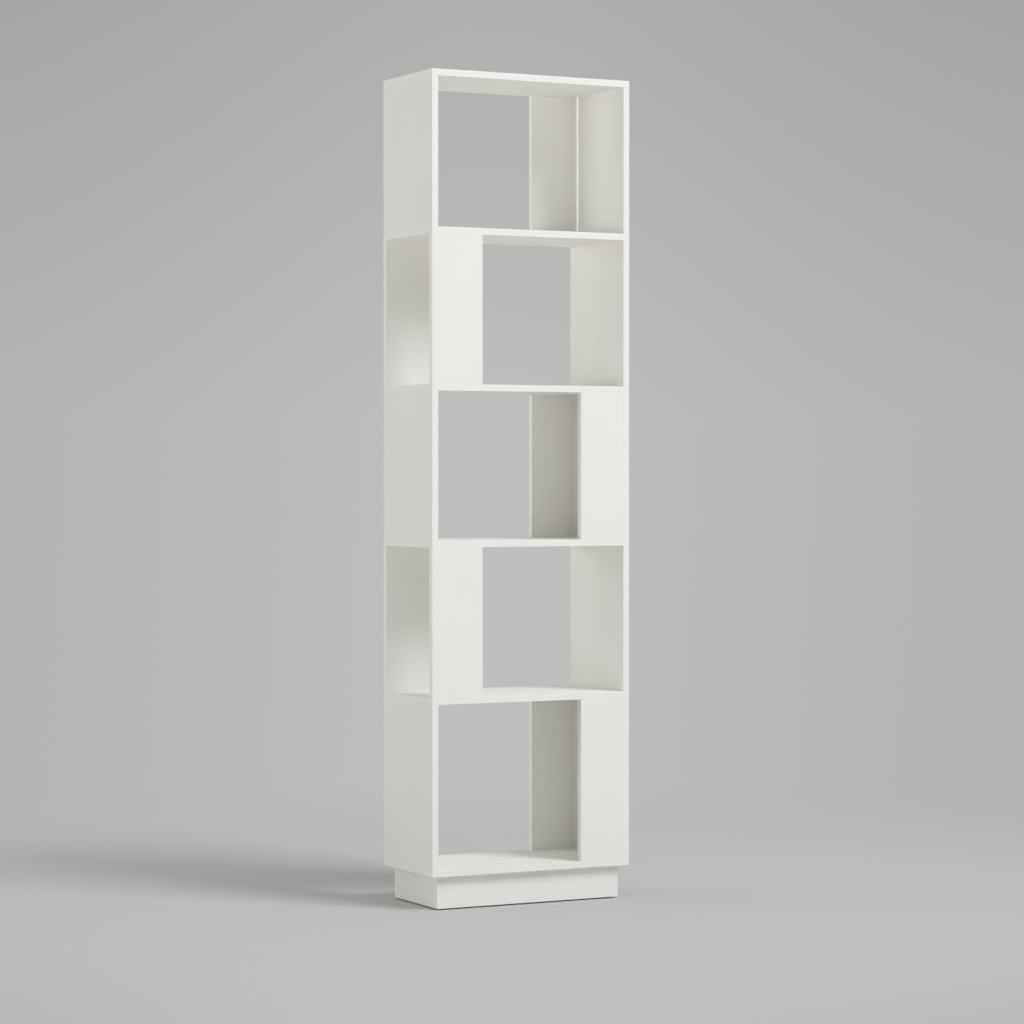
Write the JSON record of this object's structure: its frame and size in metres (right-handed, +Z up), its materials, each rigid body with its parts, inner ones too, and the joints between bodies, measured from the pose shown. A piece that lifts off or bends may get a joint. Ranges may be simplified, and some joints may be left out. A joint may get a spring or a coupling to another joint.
{
  "type": "zigzag bookcase",
  "caption": "Tall narrow white bookcase of stacked open tiers on a recessed plinth, with narrow front and back panels that change sides from tier to tier, so it serves as a shelf or a divider.",
  "frame": {"origin": "on the floor, under the middle of the cabinet", "axes": "+X to the right as seen from the front, +Y to the back, +Z up"},
  "size_m": [0.5, 0.255, 1.868],
  "materials": {
    "white_board": "satin white melamine on chipboard, with matching edging",
    "white_cap": "satin white moulded plastic",
    "beech": "raw beech",
    "softwood": "planed raw softwood",
    "zinc_steel": "zinc-plated steel",
    "grey_plastic": "moulded plastic"
  },
  "bodies": {
    "root": {"bottom_board": "white_board", "bottom_board_caps": "white_cap", "bottom_board_screws": "zinc_steel", "cleat_brads": "zinc_steel", "corner_cleat": "white_board", "floor_glides": "grey_plastic", "plinth_back": "white_board", "plinth_block_back_left": "softwood", "plinth_block_back_right": "softwood", "plinth_block_front_left": "softwood", "plinth_block_front_right": "softwood", "plinth_block_screws": "zinc_steel", "plinth_front": "white_board", "plinth_left": "white_board", "plinth_right": "white_board", "shelf_1": "white_board", "shelf_1_caps": "white_cap", "shelf_1_screws": "zinc_steel", "shelf_2": "white_board", "shelf_2_caps": "white_cap", "shelf_2_screws": "zinc_steel", "shelf_3": "white_board", "shelf_3_caps": "white_cap", "shelf_3_screws": "zinc_steel", "shelf_4": "white_board", "shelf_4_caps": "white_cap", "shelf_4_screws": "zinc_steel", "tier_1_back_panel": "white_board", "tier_1_dowels": "beech", "tier_1_front_panel": "white_board", "tier_1_left_side": "white_board", "tier_1_right_side": "white_board", "tier_2_back_panel": "white_board", "tier_2_dowels": "beech", "tier_2_front_panel": "white_board", "tier_2_right_side": "white_board", "tier_3_back_panel": "white_board", "tier_3_dowels": "beech", "tier_3_front_panel": "white_board", "tier_3_left_side": "white_board", "tier_3_right_side": "white_board", "tier_4_back_panel": "white_board", "tier_4_dowels": "beech", "tier_4_front_panel": "white_board", "tier_4_right_side": "white_board", "tier_5_back_panel": "white_board", "tier_5_dowels": "beech", "tier_5_left_side": "white_board", "tier_5_right_side": "white_board", "top_board": "white_board", "top_board_caps": "white_cap", "top_board_screws": "zinc_steel"}
  },
  "joints": []
}
